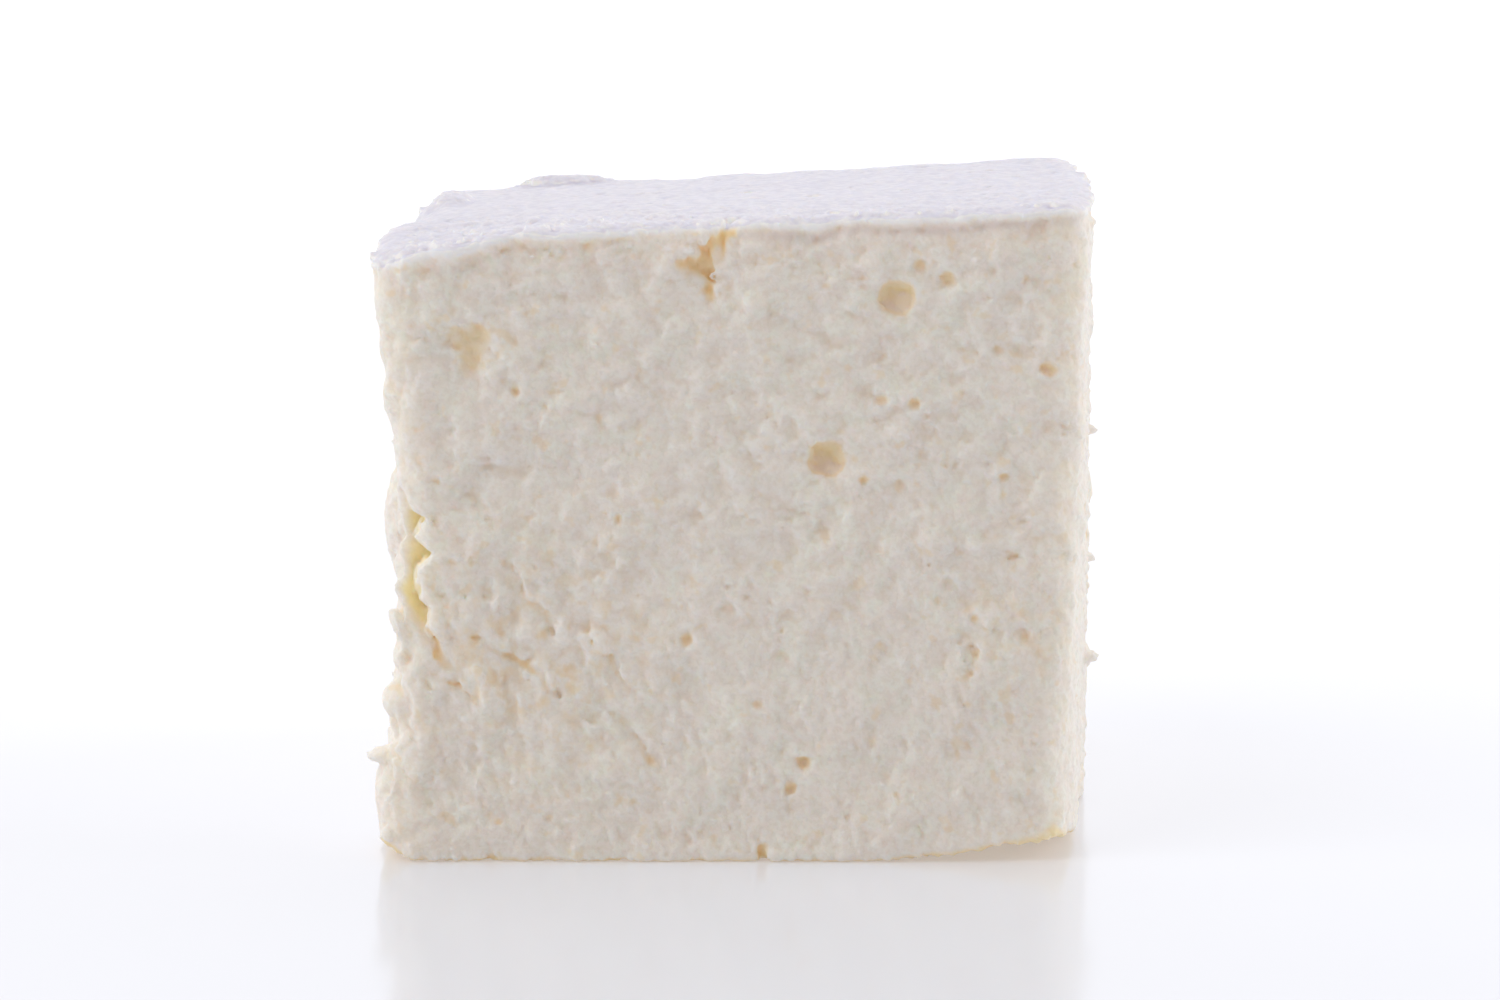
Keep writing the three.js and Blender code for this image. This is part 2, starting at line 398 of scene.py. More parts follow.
def lumps(hills):
    """Round lumps with sharp creases between them, about zero."""
    return np.abs(hills) - 0.8


# %% Hills and dales
grain = noise(0.48)
band = noise(0.55, drawn_out=2.2, drawn=level_drag)
streak = noise(0.6, drawn_out=2.2)
knob = noise(1.1, drawn_out=2.2)
dune = noise(1.6, drawn_out=1.8, drawn=level_drag)
crumb = lumps(noise(1.25, drawn_out=1.4))
fold = lumps(noise(2.6, drawn_out=2.0))
swell = noise(4.5)
wander = noise(12.0, spread=0.5)
print("nine noises, from grains of 0.48 mm to patches of 12 mm")

# %% [markdown]
# ## Waves of the cuts
#
# The knife leaves low waves on a cut, a few millimetres from crest to crest. Three sines that cross
# each other at odd angles make them, in the same way as in the CAD model, and a slow noise keeps
# them from looking regular.

# %% Waves
relief_depth = 0.09


def low_waves(along, up, phase):
    return relief_depth * (np.sin(0.42 * along + 0.31 * up + phase)
                           + 0.7 * np.sin(0.83 * up - 0.27 * along + 2 * phase)
                           + 0.5 * np.sin(1.1 * along - 0.6 * up + 3 * phase))


to_side = smoothstep(np.abs(across) - np.abs(inward), -0.8, 0.8)
at_front = smoothstep(-inward, 15.0, 18.0)
broad = (to_side * low_waves(y, z, np.sign(across))
         + (1 - to_side) * low_waves(x, z, 2 * np.sign(inward)))
field -= cut_face * (0.8 * broad + 0.05 * swell)
print("waves are up to", round(float(np.abs(broad).max()), 2), "mm high")

# %% [markdown]
# ## Texture of the cuts
#
# Near the top the foam is fine and even, with level bands where it was poured. Lower down, where
# the blade had picked up crumbs, it is dragged into streaks. So each noise has a height in
# millimetres, and some of them change towards the base. Two patches of the front cut are torn into
# folds.


# %% Texture
def patch(centre_x, centre_z, half_x, half_z):
    """A soft round patch of the front cut, 1 in its middle."""
    return np.exp(-((x - centre_x) / half_x) ** 2 - ((z - centre_z) / half_z) ** 2)


low_part = 1 - smoothstep(z + 2.5 * swell, 8, 21)
texture = (0.032 * grain + 0.030 * (1 - low_part) * band + 0.036 * low_part * streak
           + (0.024 + 0.006 * low_part) * knob + (0.066 - 0.044 * low_part) * dune
           + 0.022 * crumb + (0.030 - 0.014 * low_part) * fold)
torn = at_front * (patch(-11.5, 11.0, 6.0, 5.5) + 0.5 * patch(15.0, 13.5, 3.5, 4.5))
torn = torn + 0.6 * (1 - at_front) * smoothstep(wander, 0.5, 1.8)
texture = texture + torn * (0.12 * fold + 0.04 * knob + 0.05 * swell)
field -= cut_face * texture
print("texture's spread:", round(float(texture.std()), 3), "mm")

# %% [markdown]
# ## Rough upright edges
#
# An edge has foam on one side only to hold it, so it crumbles. The upright edges are the roughest
# part of a cut, above all the left one below its middle, and the low front right corner is rubbed
# back.

# %% Edges
near_edge = (smoothstep(np.minimum(over_side, over_front), -1.3, 0.0)
             * (1 - smoothstep(level, 14, 16.5)))
left_low = smoothstep(-across, 15.5, 18.0) * (1 - smoothstep(z, 18.5, 22.0))
edge_rough = 0.06 + 0.15 * (1 - at_front) + 0.14 * left_low * at_front
field -= cut_face * (near_edge * edge_rough * (crumb + 0.35 * streak)
                     + 0.11 * left_low * (fold + 0.6 * knob))
field += wear(x, y, z) * cut_face
print("roughness of the edges is up to", round(float(edge_rough.max()), 2), "mm")

# %% [markdown]
# ## The torn rim of the skin
#
# The skin is tougher than the foam. Where the knife goes through it, it tears a moment later, and
# its rim stands out over the cut like the crust of a loaf, with a soft hollow below. On the front
# cut it is thick and rolled on the left, gone where a forked tear hangs, and thin on the right.
# Its share says how much of the rim is there, at a few places along x, and its thickness how far
# down it reaches.

# %% Share and thickness of the rim
rim_x = (-21, -8, -4.6, -3.4, -0.6, 0.4, 20)
rim_share = (1.1, 1.0, 0.5, 0.1, 0.1, 0.75, 1.0)
thickness_x, rim_thickness = (-20, -10, -5, 0, 20), (1.25, 1.1, 0.9, 0.8, 0.9)

front_share = np.interp(line[0], rim_x, rim_share).astype(np.float32)[:, None, None]
thickness = np.interp(line[0], thickness_x, rim_thickness).astype(np.float32)
side_share = 0.75 + 0.25 * np.sin(0.9 * y) * np.sin(0.37 * y + 1)
back_share = 0.75 + 0.25 * np.sin(0.9 * x) * np.sin(0.37 * x + 1)
share = (to_side * side_share
         + (1 - to_side) * (at_front * front_share + (1 - at_front) * back_share))
thick = at_front * thickness[:, None, None] + (1 - at_front) * 1.1
print("rim is", thickness.min().round(2), "to", thickness.max().round(2), "mm thick in front")

# %% Rim
lip_out, lip_down, lip_half = 0.3, 0.32, 0.3
hollow_in, hollow_down, hollow_half = 0.13, 1.05, 0.35

drop = top_at(x, y) - z + 0.10 * swell + 0.07 * crumb
rim = share * np.exp(-((drop - lip_down * thick) / (lip_half * thick)) ** 2)
under_rim = share * np.exp(-((drop - hollow_down * thick) / (hollow_half * thick)) ** 2)
field += cut_face * (hollow_in * under_rim - lip_out * rim)
print("rim stands out by", lip_out, "mm, over a hollow of", hollow_in, "mm")

# %% [markdown]
# ## The skin itself
#
# Seen from close by, the powdered skin isn't flat either. It is smooth towards the back and crumbly
# near the front edge, where the slab was handled, and fine wrinkles run down over its front border.

# %% Skin
crumbly = 0.4 + 1.6 * smoothstep(-inward, 2, 17) * (0.45 + 0.55 * smoothstep(-across, -4, 10))
crumbly = crumbly * (1 - 0.6 * smoothstep(-across, 16.5, 18.8))
skin_grain = crumbly * (0.026 * grain + 0.045 * crumb + 0.030 * knob) + 0.040 * swell
front_wrinkles = at_front * smoothstep(-inward, 16.5, 18.5) * 0.05 * streak
field -= (1 - cut_face) * (skin_grain + front_wrinkles)

# Each of these arrays takes about 70 MB, so the ones that aren't needed again are let go
del across, inward, level, over_side, over_front, over_cap, top_left, back_right, upright
del band, dune, wander, to_side, broad, low_part, near_edge, left_low, edge_rough
del share, rim, crumbly, skin_grain, front_wrinkles, cut_face
print("the block is dressed")

# %% [markdown]
# ## Tools for small forms
#
# Three tools shape the rest. `carve` and `join` take away or add a ball with three half sizes, and
# round the rim where it meets the surface. `press` pushes a cut in by an amount that a little
# function gives, which serves for creases and for the crescents that the knife tears.

# %% Carve and join
ragged = 0.07


def window(centre, reach):
    """The part of the field within reach of a centre."""
    first = np.maximum(((np.array(centre) - reach - low) / voxel).astype(int), 0)
    last = np.minimum(((np.array(centre) + reach - low) / voxel).astype(int) + 2, steps)
    return tuple(slice(a, b) for a, b in zip(first, last))


def from_ball(part, centre, size):
    """Distance from a ball with three half sizes, a little uneven, over one window."""
    away = np.sqrt(((line[0][part[0]][:, None, None] - centre[0]) / size[0]) ** 2
                   + ((line[1][part[1]][None, :, None] - centre[1]) / size[1]) ** 2
                   + ((line[2][part[2]][None, None, :] - centre[2]) / size[2]) ** 2)
    return (away - 1) * min(size) + ragged * (crumb[part] + 0.4 * grain[part])


def carve(centre, size, soft=0.15):
    """Takes a ball away, and rounds the rim of the hollow."""
    part = window(centre, max(size) + 3 * soft)
    first, second = field[part], -from_ball(part, centre, size)
    near = np.maximum(soft - np.abs(first - second), 0)
    field[part] = np.maximum(first, second) + near ** 2 / (4 * soft)


def join(centre, size, soft=0.25):
    """Adds a ball, and fills the corner where it meets the surface."""
    part = window(centre, max(size) + 3 * soft)
    first, second = field[part], from_ball(part, centre, size)
    near = np.maximum(soft - np.abs(first - second), 0)
    field[part] = np.minimum(first, second) - near ** 2 / (4 * soft)


# %% Press
press_reach = 2.2
cuts = {"front": (lambda along, up: (along, front_at(along), up), 0),
        "back": (lambda along, up: (along, back_at(along), up), 0),
        "left": (lambda along, up: (side_at(left_cut, along, up), along, up), 1),
        "right": (lambda along, up: (side_at(right_cut, along, up), along, up), 1)}


def press(cut, along, up, reach, shape):
    """Pushes a cut in by shape(part, sideways, upward), in mm, within reach of one spot."""
    place, axis = cuts[cut]
    size = np.full(3, reach)
    size[1 - axis] = press_reach
    part = window(place(along, up), size)
    sideways = line[axis][part[axis]] - along
    sideways = sideways[:, None, None] if axis == 0 else sideways[None, :, None]
    field[part] += shape(part, sideways, (line[2][part[2]] - up)[None, None, :])


# %% [markdown]
# ## Creases and crescents
#
# A crease follows a path of a few points. Every place near it is compared with each stretch of the
# path, and the nearest one counts. Two noises push the path about, so that it wavers as a tear
# does. A crescent is what a dragged crumb leaves: a crisp edge above, running out below.


# %% Groove
def groove(cut, path, half, deep, bank=0.0, wobble=0.14):
    """A wavering crease through points (along, up), fading at its ends, its upper bank raised."""
    points = np.array(path, dtype=float)
    middle = (points.min(axis=0) + points.max(axis=0)) / 2
    reach = np.abs(points - middle).max() + 4 * half
    points -= middle
    total = np.hypot(*np.diff(points, axis=0).T).sum()

    def shape(part, sideways, upward):
        nearest, run, above = 99.0, 0.0, 0.0
        walked = 0.0
        for start, end in zip(points, points[1:]):
            length = np.hypot(*(end - start))
            ahead = (end - start) / length
            u = sideways + wobble * knob[part] - start[0]
            v = upward + wobble * fold[part] - start[1]
            t = np.clip(u * ahead[0] + v * ahead[1], 0, length)
            away = np.hypot(u - t * ahead[0], v - t * ahead[1])
            closer = away < nearest
            nearest = np.where(closer, away, nearest)
            run = np.where(closer, (walked + t) / total, run)
            above = np.where(closer, v * ahead[0] - u * ahead[1], above)
            walked += length
        nearest = nearest + 0.5 * half * crumb[part]
        fade = np.sqrt(np.clip(5 * run * (1 - run), 0, 1))
        dent = deep * np.exp(-(nearest / half) ** 2)
        raised = (bank * np.exp(-((nearest - 2.2 * half) / (1.4 * half)) ** 2)
                  * smoothstep(above, -0.1, 0.1))
        return fade * (dent - raised)

    press(cut, *middle, reach, shape)


# %% Crescent
def crescent(cut, along, up, radius, deep, turn=0.0):
    """A small tear: a crisp edge above with a raised flap, running out below."""
    def shape(part, sideways, upward):
        u = sideways * cos(turn) + upward * sin(turn)
        v = upward * cos(turn) - sideways * sin(turn)
        out = np.hypot(u, 0.75 * v) / radius
        dent = (1 - smoothstep(out, 0.7, 1.0)) * smoothstep(v / radius, -1.1, 0.9)
        flap = np.exp(-((out - 1.15) / 0.2) ** 2) * smoothstep(v / radius, 0.1, 0.8)
        return deep * (dent - 0.4 * flap)

    press(cut, along, up, 1.7 * radius + 0.3, shape)


# %% [markdown]
# ## Burrs and small bites
#
# From here on come this cube's own marks. Burrs are crumbs that the knife pushed out and left
# hanging: a thick one behind the long bite, smaller ones down both front edges, and two low folds
# of the skin on top. Small bites are missing from the edges that face away. Both are balls, given
# by their centre and their three half sizes.
#
# The field is copied before each kind of hollow is made, because the finish later needs to know
# how deep a place lies in it.

# %% Burrs
burrs = [
    (-18.7, -14.2, 18.4, 1.2, 2.6, 3.2),
    (-19.0, -16.8, 3.4, 1.35, 2.4, 2.7), (-19.6, -17.6, 5.7, 1.15, 0.8, 0.45),
    (-18.8, -17.4, 8.8, 1.05, 1.4, 1.1), (-18.5, -17.4, 11.3, 0.75, 1.2, 0.8),
    (-18.8, -17.2, 26.0, 0.8, 1.8, 2.0), (-19.15, -17.2, 31.6, 0.8, 1.8, 1.7),
    (19.25, -4, 22.0, 0.7, 0.7, 0.3), (19.35, -4.5, 14.7, 0.7, 0.7, 0.28),
    (19.35, -5, 9.0, 0.75, 0.8, 0.35), (19.6, 9.5, 6.2, 0.8, 1.2, 0.9),
    (-11.4, 18.0, 33.92, 3.0, 1.1, 0.62), (-17.7, 6.2, 33.88, 1.2, 3.2, 0.7),
]
for burr in burrs:
    join(burr[:3], burr[3:])
print(len(burrs), "burrs and folds of skin")

# %% Small bites
before_bites = field.copy()
edge_bites = [
    (20.1, 19.2, 11.6, 1.9, 2.4, 1.7), (20.2, 19.3, 9.2, 1.4, 2.0, 1.1),
    (-19.6, 19.4, 27.2, 1.2, 1.6, 1.5),
    (-20.2, 5.4, 0.2, 1.5, 1.9, 1.4), (9.6, 19.6, 0.2, 1.7, 1.3, 1.2),
]
for bite in edge_bites:
    carve(bite[:3], bite[3:], soft=0.3)
print(len(edge_bites), "small bites")

# %% [markdown]
# ## The long bite
#
# A strip is torn out of the front left edge. Its inner border is ragged, with teeth of foam that
# hang into it, so it is given as a line of heights and places. `past` is how far a point lies
# beyond that line, and the floor of the bite drops off steeply there and rises again towards the
# edge. It ends softly below, where it runs out into a crease, and above.

# %% The long bite
border = np.array([
    (10.2, -15.9), (12.0, -16.3), (13.0, -17.2), (14.2, -16.9), (14.6, -17.4), (15.4, -17.6),
    (16.4, -17.5), (17.2, -16.6), (17.5, -17.2), (18.0, -17.6), (18.7, -17.4), (19.15, -17.1),
    (19.5, -17.8), (20.6, -18.2), (22.4, -19.6)])
bite_centre, bite_reach = (-18.5, -18.0, 17.0), np.array([4.0, 5.0, 6.5])
bite_depth, bite_slope = 2.1, 0.35

part = window(bite_centre, bite_reach)
here_x, here_z = x[part[0]], z[..., part[2]]
past = np.interp(line[2], border[:, 0], border[:, 1])[None, None, part[2]] - here_x
past = past + 0.12 * crumb[part] + 0.05 * streak[part]
deep = bite_depth * smoothstep(past, -0.08, 0.45) - bite_slope * np.clip(past, 0, 2.6)
above_end = here_z - (12.3 - (here_x + 17.8))
deep = deep * (0.15 + 0.85 * smoothstep(above_end, 0.2, 3.2))
deep = deep * smoothstep(above_end, -0.4, 0.6) * (1 - smoothstep(here_z, 21.2, 22.6))
behind = front_at(here_x) - 0.6 + deep + 0.6 * smoothstep(deep, 0.1, 0.5) - y[:, part[1]]
behind = behind + 0.10 * crumb[part] + 0.12 * fold[part]
field[part] = np.maximum(field[part], behind)
print("the long bite is up to", round(float(deep.max()), 2), "mm deep")

# %% [markdown]
# ## Creases, arches and the forked tear
#
# Below the long bite the foam is pulled into creases that run down to the right. Each has a path, a
# half width, a depth and the height of its raised upper bank. One with less than no depth is a
# ridge. The arches in the lower half are where the blade stuck and slipped. The forked tear under
# the rim is three grooves, one broad and two sharp, and two carved pits.

# %% Creases and ridges of the front cut
creases = [
    ([(-17.3, 13.4), (-16.6, 12.2), (-16.0, 10.7)], 0.25, 0.36, 0.10),
    ([(-16.7, 10.4), (-15.6, 10.1), (-14.2, 8.9)], 0.16, 0.30, 0.12),
    ([(-13.0, 17.2), (-12.4, 15.9), (-11.8, 14.7), (-10.2, 13.9)], 0.16, 0.22, 0.14),
    ([(-14.2, 12.4), (-12.8, 11.5), (-11.2, 10.8), (-9.9, 8.8)], 0.19, 0.19, 0.18),
    ([(-9.0, 13.4), (-7.8, 12.3), (-6.8, 10.7), (-5.9, 9.2)], 0.18, 0.22, 0.16),
    ([(-14.8, 12.0), (-14.2, 10.5), (-13.9, 8.4)], 0.34, -0.16, 0.0),
    ([(-5.9, 9.2), (-5.3, 7.6), (-4.6, 6.0)], 0.34, -0.12, 0.0),
    ([(-20.0, 33.1), (-19.4, 33.6), (-18.5, 34.05), (-17.6, 34.1)], 0.14, 0.22, 0.0),
    ([(-6.2, 7.4), (-5.2, 6.4), (-4.5, 5.0)], 0.22, 0.22, 0.10),
    ([(10.3, 16.3), (11.2, 17.1), (12.8, 17.3), (15.6, 17.2), (18.4, 17.1)], 0.24, 0.12, 0.06),
    ([(-17.6, 23.0), (-17.3, 21.8), (-16.2, 21.0), (-14.9, 20.9)], 0.22, 0.20, 0.06),
    ([(-11.6, 33.3), (-10.2, 33.5), (-8.6, 33.7)], 0.26, 0.16, 0.02),
    ([(-8.7, 33.8), (-8.2, 34.0), (-7.6, 34.3)], 0.30, 0.20, 0.0),
    ([(-7.1, 34.35), (-6.1, 34.5), (-5.0, 34.65)], 0.16, 0.22, 0.0),
]
before_creases = field.copy()
for path, half, deep, bank in creases:
    groove("front", path, half, deep, bank)
print(len(creases), "creases and ridges")

# %% Arches
arches = [
    (-0.8, 13.8, 0.65), (2.5, 13.6, 0.6), (5.05, 13.4, 0.7), (7.6, 11.8, 0.55),
    (2.1, 11.1, 0.75), (-9.3, 11.3, 0.9), (-10.6, 12.6, 0.5), (12.6, 11.6, 0.6),
    (15.2, 12.4, 0.7), (11.3, 15.4, 0.5),
]
arch_depth = 0.16
for along, up, radius in arches:
    crescent("front", along, up, radius, arch_depth, turn=-0.3)
crescent("front", -12.2, 11.0, 1.2, arch_depth, turn=-0.4)
print(len(arches) + 1, "arches")

# %% The forked tear
tear_paths = [
    ([(-0.2, 35.2), (-0.9, 34.2), (-2.1, 33.1), (-1.6, 31.4)], 0.75, 0.22, 0.14),
    ([(0.1, 35.9), (-0.6, 34.9), (-1.5, 34.1), (-2.2, 33.3), (-3.6, 33.0)], 0.34, 0.34, 0.05),
    ([(-2.0, 33.4), (-1.9, 32.6), (-1.75, 31.9), (-1.6, 30.9)], 0.22, 0.28, 0.05),
]
tear_pits = [(-2.6, 33.15, (0.7, 0.34, 0.22)), (-1.68, 31.45, (0.3, 0.34, 0.5))]
for path, half, deep, wobble in tear_paths:
    groove("front", path, half, deep, wobble=wobble)
for along, up, size in tear_pits:
    carve((along, front_at(along) - 0.1, up), size, soft=0.2)
print("a tear of", len(tear_paths), "grooves and", len(tear_pits), "pits")

# %% [markdown]
# ## Bubbles
#
# Most bubbles are too small to see, and the knife opened a few large ones. Those of the front cut
# are placed one by one: two round ones with a smaller lobe below, a heart of three lobes, and
# small ones, each with its place and its half sizes. A large one is cut through near its middle,
# so that its centre lies close to the cut. The last is the notch in the base.

# %% Bubbles of the front cut
before_bubbles = field.copy()
front_hollows = [
    (8.4, 31.25, 1.02, 0.85, 1.0), (8.75, 30.2, 0.42, 0.5, 0.5),
    (4.65, 22.45, 1.06, 0.85, 1.02), (4.7, 21.5, 0.42, 0.5, 0.45),
    (-15.2, 28.8, 0.93, 0.42, 0.86), (-14.4, 28.95, 0.85, 0.46, 0.9),
    (-14.65, 27.7, 0.76, 0.44, 1.06),
    (11.15, 32.2, 0.55, 0.6, 0.62), (9.7, 33.0, 0.46, 0.55, 0.46),
    (16.7, 27.45, 0.6, 0.5, 0.58), (13.95, 28.45, 0.42, 0.5, 0.42),
    (2.65, 4.15, 0.52, 0.75, 0.48), (3.5, 5.6, 0.44, 0.7, 0.42),
    (8.6, 20.95, 0.45, 0.35, 0.5), (14.35, 21.45, 0.4, 0.35, 0.4),
    (9.3, 10.1, 0.4, 0.4, 0.38), (7.2, 6.85, 0.3, 0.4, 0.5),
    (-7.65, 24.55, 0.28, 0.4, 0.5), (-12.25, 26.35, 0.28, 0.4, 0.5),
    (1.15, 0.35, 0.42, 1.5, 0.85),
]
large_radius = 0.6
for bx, bz, *size in front_hollows:
    outside, soft = (0.12, 0.28) if size[0] > large_radius else (0.5, 0.2)
    carve((bx, front_at(bx) - outside * size[1], bz), size, soft)
print(len(front_hollows), "hollows in the front cut")

# %% [markdown]
# ## Bubbles by chance
#
# On the three cuts that face away, chance decides where the bubbles lie. The rule is the CAD
# model's own, a simple counter that always gives the same "chance", so both have their bubbles in
# the same places. Then every cut gets small pores and small crescents from the random numbers that
# also made the noises.


# %% Bubbles of the other cuts
class Chance:
    """A counter that jumps about, for numbers from 0 to 1 that are the same on every run."""
    def __init__(self, seed):
        self.state = seed

    def next(self):
        self.state = (self.state * 1664525 + 1013904223) & 0xFFFFFFFF
        return self.state / 2 ** 32


def draw_bubbles(chance, count=10, smallest=0.5, largest=1.15, spacing=3.4):
    """Places and radii of bubbles on one cut, none too near another."""
    found = []
    while len(found) < count:
        along = (2 * chance.next() - 1) * 15.5
        up = 3.5 + 28 * chance.next()
        radius = smallest + (largest - smallest) * chance.next() ** 2
        if all(np.hypot(a - along, u - up) > spacing for a, u, _ in found):
            found.append((along, up, radius))
    return found


chance = Chance(2803)
for cut in ("back", "left", "right"):
    place, axis = cuts[cut]
    for along, up, radius in draw_bubbles(chance):
        size = np.full(3, radius)
        size[1 - axis] = 0.8 * radius
        carve(place(along, up), size, soft=0.22)
    print("bubbles opened in the", cut, "cut")

# %% Small pores and crescents on every cut
pores_per_cut, crescents_per_cut = 70, 120
for cut, (place, axis) in cuts.items():
    for _ in range(pores_per_cut):
        along, up = rng.uniform(-17.8, 17.8), rng.uniform(1.2, 34.0)
        radius = 0.22 + 0.28 * rng.random() ** 2
        spot = np.array(place(along, up))
        spot[1 - axis] *= 1 + 0.7 * radius / 19
        size = (radius * rng.uniform(0.8, 1.2), radius, radius * rng.uniform(0.8, 1.4))
        carve(spot, size, soft=0.15)
    for _ in range(crescents_per_cut):
        along, up = rng.uniform(-18, 18), 1 + 30 * rng.random() ** 1.4
        radius, deep = rng.uniform(0.2, 0.6), rng.uniform(0.03, 0.10)
        crescent(cut, along, up, radius, deep, turn=rng.normal(-0.35, 0.4))
print(len(cuts) * pores_per_cut, "pores and", len(cuts) * crescents_per_cut, "crescents")

# %% [markdown]
# ## Pits in the skin
#
# Bubbles that rose to the top of the slab broke there and left pits in the skin. Four can be told
# apart. The rest are pinholes, more of them near the front.

# %% Pits in the skin
large_pits = [(3.7, -2.7, 0.55), (4.0, -9.5, 0.5), (-0.1, 2.2, 0.45), (4.5, -8.4, 0.3)]
pinholes = 190
for px, py, size in large_pits:
    carve((px, py, top_at(px, py) + 0.1 * size), (size, 1.4 * size, 1.1 * size), soft=0.1)
for _ in range(pinholes):
    px, py = rng.uniform(-17, 17.8), 17 - 35.5 * rng.random() ** 0.7
    radius = rng.uniform(0.12, 0.26)
    size = (radius * 1.3, radius * 1.3, 0.8 * radius)
    carve((px, py, top_at(px, py)), size, soft=0.06)
print(len(large_pits), "pits and", pinholes, "pinholes in the skin")

# %% [markdown]
# ## From field to mesh
#
# OpenVDB, which comes with Blender, draws the surface where the field is zero. The base is cut
# flat first, because the cube rests on it. Loose scraps and shut bubbles would be surfaces that
# touch nothing, so only the largest connected one is kept.

# %% Draw the surface
field = np.maximum(field, np.broadcast_to(-z, field.shape))
grid = openvdb.FloatGrid(1.0)
grid.copyFromArray(np.ascontiguousarray(field, dtype=np.float32))
places, triangles, quads = grid.convertToPolygons(isovalue=0.0, adaptivity=0.0)
places = places * voxel + low
print("surface:", len(places), "points,", len(triangles), "triangles,", len(quads), "quads")


# %% Keep the largest connected surface
def connected(count, links):
    """A number for each point, the same for all points that the links connect."""
    group = np.arange(count)
    while True:
        lower = np.minimum(group[links[:, 0]], group[links[:, 1]])
        newer = group.copy()
        np.minimum.at(newer, links[:, 0], lower)
        np.minimum.at(newer, links[:, 1], lower)
        newer = newer[newer[newer]]
        if np.array_equal(newer, group):
            return group
        group = newer


links = np.concatenate([quads[:, [0, 1]], quads[:, [1, 2]], quads[:, [2, 3]]])
group = connected(len(places), links)
largest = np.bincount(group).argmax()
kept = group == largest
renumbered = np.cumsum(kept) - 1
quads = renumbered[quads[kept[quads[:, 0]]]]
places = places[kept]
print("scraps left out:", int((~kept).sum()), "points")

# %% Make the mesh
mesh = bpy.data.meshes.new("marshmallow_foam")
mesh.from_pydata((places * mm).tolist(), [], quads[:, ::-1].tolist())
mesh.shade_smooth()
foam = bpy.data.objects.new("marshmallow_foam", mesh)
bpy.context.scene.collection.objects.link(foam)
print("mesh has", len(mesh.polygons), "faces")

# %% [markdown]
# ## What the finish needs to know
#
# A few numbers are stored on every point: whether it belongs to the powdered skin, how deep it lies
# in a bubble, a crack, a bite or a dale of the texture, how near it is to an upright edge, whether
# it is under the rim, and whether it is in a torn patch. Light that reaches a hollow has gone
# through the foam round it and looks warm, so these numbers later paint that warm light into the
# colour as a glow, and paint shade into the dales and under the rim. The base counts as a crack,
# because the only light there comes through the foam, and gets the same painted glow.


# %% Reading the field at the mesh's points
def at_points(values):
    """The numbers of a field at the mesh's points, blended from the eight nearest."""
    spot = (places - low) / voxel
    first = np.clip(np.floor(spot).astype(int), 0, steps - 2)
    share = (spot - first).astype(np.float32)
    total = 0
    for corner in np.ndindex(2, 2, 2):
        weight = np.prod(np.where(corner, share, 1 - share), axis=1)
        total = total + weight * values[tuple((first + corner).T)]
    return total


across, inward, level = in_block(*(places[:, i].astype(np.float32) for i in range(3)))
over_side, over_front = np.abs(across) - width / 2, np.abs(inward) - depth / 2
over_cap = np.abs(level) - height / 2
print("points on the upper half:", int((level > 0).sum()), "of", len(places))

# %% Masks
masks = {}
cap = 1 - smoothstep(np.maximum(over_side, over_front) - over_cap, -0.25, 0.3)
upper = smoothstep(level, -1, 1)
on_top = 1 - smoothstep(at_points(drop / thick), 0.35, 0.75)
masks["skin"] = np.maximum(cap * upper, on_top)

bubble_depth = -at_points(before_bubbles)
# Bubbles take painted warm light, as light through the foam would colour them
masks["bubble"] = (0.28 * smoothstep(bubble_depth, 0.03, 0.2)
                   + 0.72 * smoothstep(bubble_depth, 0.28, 0.7))
not_bubble = 1 - masks["bubble"]
in_crack = smoothstep(-at_points(before_creases), 0.08, 0.35) * not_bubble
# Creases and the base take a painted warm glow, for light that comes through the foam
masks["painted_crack_glow"] = np.maximum(in_crack, cap * (1 - upper))
# The bites take a painted yellow glow, for light from behind that comes through the thin foam
masks["bite"] = smoothstep(-at_points(before_bites), 0.25, 1.1) * not_bubble
# The dales of the texture take painted shade, warm and a little dark
masks["crease"] = smoothstep(-at_points(texture), 0.04, 0.20)
masks["edge"] = smoothstep(np.minimum(over_side, over_front), -3.2, -0.6)
# The hollow under the front rim gets painted shade, more of it towards the right
front_lip = under_rim * at_front * (0.2 + 0.8 * smoothstep(x, -7, 1))
masks["lip"] = at_points(front_lip) * (1 - masks["skin"])
masks["torn"] = np.clip(at_points(torn), 0, 1)

for name, values in masks.items():
    attribute = mesh.attributes.new(name, "FLOAT", "POINT")
    attribute.data.foreach_set("value", np.ascontiguousarray(values, dtype=np.float32))
    print(name, "covers", round(100 * float(values.mean()), 1), "percent of the points")

# The fields have done their work, so their memory is let go too
del field, before_bites, before_creases, before_bubbles, grid
del grain, streak, knob, crumb, fold, swell, texture, torn, at_front
del thick, drop, under_rim, front_lip

# %% [markdown]
# ## A flat map of the surface
#
# Textures need the surface laid out flat. A cube has an easy way: each of its six sides is seen
# straight on, and the six pictures are set side by side in two rows of three.

# %% Lay out the six sides
tile_share = 0.45
unit = np.stack([across / width, inward / depth, level / height], axis=1) * 2
facing = unit[quads].mean(axis=1)
axis = np.abs(facing).argmax(axis=1)
side = axis + 3 * (facing[np.arange(len(facing)), axis] > 0)
flat = np.array([(1, 2), (0, 2), (0, 1)])[axis]
tile = np.stack([side % 3, side // 3], axis=1)
loops = quads[:, ::-1]
spread = np.take_along_axis(unit[loops], flat[:, None, :].repeat(4, axis=1), axis=2)
uv = (tile[:, None, :] + 0.5 + tile_share * spread) / (3, 2)
layer = mesh.uv_layers.new(name="OFBake")
layer.data.foreach_set("uv", uv.astype(np.float32).ravel())
print("map laid out for", len(quads), "faces, from", uv.min().round(3), "to", uv.max().round(3))
